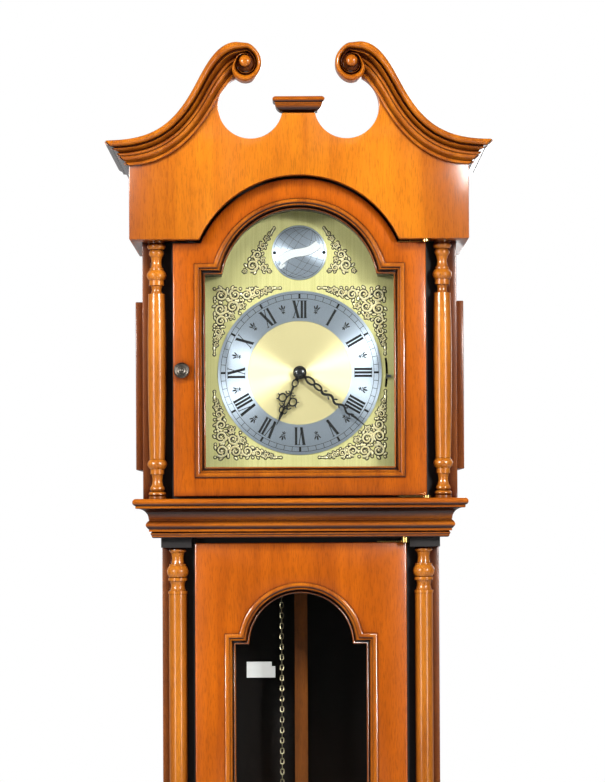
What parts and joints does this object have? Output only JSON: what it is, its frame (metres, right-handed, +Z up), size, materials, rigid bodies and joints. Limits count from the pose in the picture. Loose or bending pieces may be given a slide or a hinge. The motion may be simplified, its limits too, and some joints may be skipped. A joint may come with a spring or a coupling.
{
  "type": "grandfather clock",
  "caption": "Longcase clock: hood with swan-neck pediment and arched brass dial, glazed trunk door over pendulum, chain and weight, panelled base.",
  "frame": {"origin": "on the floor, under the middle of the case's outline", "axes": "+Z up, +Y towards the back of the case, +X to the right of someone facing the dial"},
  "size_m": [0.553, 0.314, 2.049],
  "materials": {
    "case_veneer": "clear gloss lacquer",
    "door_veneer": "clear gloss lacquer",
    "moulding_wood": "clear gloss lacquer",
    "column_wood": "clear gloss lacquer",
    "inside_wood": "unpolished, stained dark",
    "brass": "polished",
    "dial_brass": "grained and lacquered",
    "spandrel_brass": "cast, antiqued in the hollows",
    "silvered_ring": "spun, silvered",
    "bronze_knob": "antiqued",
    "black_hands": "satin black",
    "steel": "fine ground",
    "bell_metal": "polished",
    "glass": "clear",
    "label_paper": "matt"
  },
  "bodies": {
    "case": {"base_boards": "case_veneer", "base_front_panel": "case_veneer", "base_skirt": "moulding_wood", "base_top_moulding": "moulding_wood", "trunk_sides": "case_veneer", "trunk_front_frame": "inside_wood", "trunk_columns": "column_wood", "back_board": "inside_wood", "paper_label": "label_paper", "waist_moulding": "moulding_wood", "seat_board": "inside_wood", "hood_base_frame": "moulding_wood", "hood_sides": "case_veneer", "hood_columns": "column_wood", "dial_mask": "inside_wood", "frieze_boards": "case_veneer", "swan_neck_mouldings": "moulding_wood", "crown_returns": "moulding_wood", "plinth_cap": "moulding_wood", "hood_roof": "moulding_wood", "hinge_pins": "brass", "dial_plate": "dial_brass", "chapter_ring": "silvered_ring", "arch_boss": "dial_brass", "spandrels": "spandrel_brass", "movement_plates": "brass", "movement_pillars": "brass", "suspension_cock": "brass", "bell": "bell_metal", "chain_weight_side": "brass", "chain_free_side": "brass"},
    "hood_door": {"hood_door_frame": "door_veneer", "hood_door_moulding": "moulding_wood", "hood_door_glass": "glass", "hood_door_knob": "bronze_knob", "hood_door_straps": "brass"},
    "trunk_door": {"trunk_door_frame": "door_veneer", "trunk_door_moulding": "moulding_wood", "trunk_door_glass": "glass", "trunk_door_knob": "bronze_knob", "trunk_door_straps": "brass"},
    "side_panel_left": {"side_panel_left": "case_veneer"},
    "side_panel_right": {"side_panel_right": "case_veneer"},
    "minute_arbor": {"minute_hand": "black_hands", "centre_arbor": "steel"},
    "minute_wheel": {"minute_wheel": "brass"},
    "hour_pipe": {"hour_wheel": "brass", "hour_hand": "black_hands"},
    "great_wheel": {"great_wheel": "brass"},
    "third_wheel": {"third_wheel": "steel"},
    "escape_wheel": {"escape_wheel": "brass"},
    "chain_sprocket": {"chain_sprocket": "brass"},
    "weight": {"weight": "brass"},
    "chain_ring": {"chain_ring": "brass"},
    "anchor": {"anchor": "steel"},
    "pendulum": {"pendulum_stick": "column_wood", "pendulum_bob": "brass"},
    "rating_nut": {"rating_nut": "brass"},
    "strike_hammer": {"strike_hammer": "steel"},
    "silent_lever": {"silent_lever": "steel"}
  },
  "joints": [
    {"name": "hood_door_hinge", "type": "hinge", "parent": "case", "child": "hood_door", "pos_m": [0.182, -0.115, 1.58], "axis": [0, 0, 1], "range_deg": [0, 110]},
    {"name": "trunk_door_hinge", "type": "hinge", "parent": "case", "child": "trunk_door", "pos_m": [0.151, -0.087, 0.94], "axis": [0, 0, 1], "range_deg": [0, 110]},
    {"name": "side_panel_left_pull", "type": "slide", "parent": "case", "child": "side_panel_left", "axis": [-1, 0, 0], "range_m": [0, 0.05]},
    {"name": "side_panel_right_pull", "type": "slide", "parent": "case", "child": "side_panel_right", "axis": [1, 0, 0], "range_m": [0, 0.05]},
    {"name": "minute_spin", "type": "hinge", "parent": "case", "child": "minute_arbor", "pos_m": [0, -0.03, 1.5807], "axis": [0, 1, 0], "continuous": true},
    {"name": "minute_wheel_spin", "type": "hinge", "parent": "case", "child": "minute_wheel", "pos_m": [-0.03932, -0.04, 1.55317], "axis": [0, 1, 0], "continuous": true},
    {"name": "hour_spin", "type": "hinge", "parent": "case", "child": "hour_pipe", "pos_m": [0, -0.05, 1.5807], "axis": [0, 1, 0], "continuous": true},
    {"name": "great_wheel_spin", "type": "hinge", "parent": "case", "child": "great_wheel", "pos_m": [0, 0.015, 1.5157], "axis": [0, 1, 0], "continuous": true},
    {"name": "third_wheel_spin", "type": "hinge", "parent": "case", "child": "third_wheel", "pos_m": [-0.02112, -0.02, 1.60986], "axis": [0, 1, 0], "continuous": true},
    {"name": "escape_wheel_spin", "type": "hinge", "parent": "case", "child": "escape_wheel", "pos_m": [0, 0, 1.632], "axis": [0, 1, 0], "continuous": true},
    {"name": "weight_run", "type": "slide", "parent": "case", "child": "weight", "axis": [0, 0, 1], "range_m": [0, 0.35], "deforming": ["chain_weight_side"]},
    {"name": "chain_ring_run", "type": "slide", "parent": "case", "child": "chain_ring", "axis": [0, 0, -1], "range_m": [0, 0.35], "deforming": ["chain_free_side"]},
    {"name": "sprocket_spin", "type": "hinge", "parent": "case", "child": "chain_sprocket", "pos_m": [0, 0, 1.5157], "axis": [0, 1, 0], "continuous": true},
    {"name": "pendulum_swing", "type": "hinge", "parent": "case", "child": "pendulum", "pos_m": [0, 0.052, 1.66411], "axis": [0, 1, 0], "range_deg": [-3, 3]},
    {"name": "anchor_rock", "type": "hinge", "parent": "case", "child": "anchor", "pos_m": [0, 0.02, 1.66411], "axis": [0, 1, 0], "range_deg": [-3.2, 3.2]},
    {"name": "rating_nut_turn", "type": "hinge", "parent": "pendulum", "child": "rating_nut", "pos_m": [0, 0.052, 0.59511], "axis": [0, 0, 1], "continuous": true},
    {"name": "hammer_stroke", "type": "hinge", "parent": "case", "child": "strike_hammer", "pos_m": [0.068, 0, 1.64], "axis": [0, 1, 0], "range_deg": [-1.6, 18], "stiffness_Nm_per_rad": 0.03},
    {"name": "strike_silent_shift", "type": "hinge", "parent": "case", "child": "silent_lever", "pos_m": [0, -0.051, 1.5807], "axis": [0, -1, 0], "range_deg": [-6, 11]}
  ],
  "couplings": [
    {"joint": "minute_wheel_spin", "follows": "minute_spin", "ratio": -0.33333},
    {"joint": "hour_spin", "follows": "minute_spin", "ratio": 0.083333},
    {"joint": "great_wheel_spin", "follows": "minute_spin", "ratio": -0.083333},
    {"joint": "third_wheel_spin", "follows": "minute_spin", "ratio": -8},
    {"joint": "escape_wheel_spin", "follows": "minute_spin", "ratio": 60},
    {"joint": "chain_ring_run", "follows": "weight_run", "ratio": 1},
    {"joint": "sprocket_spin", "follows": "weight_run", "rad_per_m": 35.088},
    {"joint": "anchor_rock", "follows": "pendulum_swing", "ratio": 1}
  ]
}
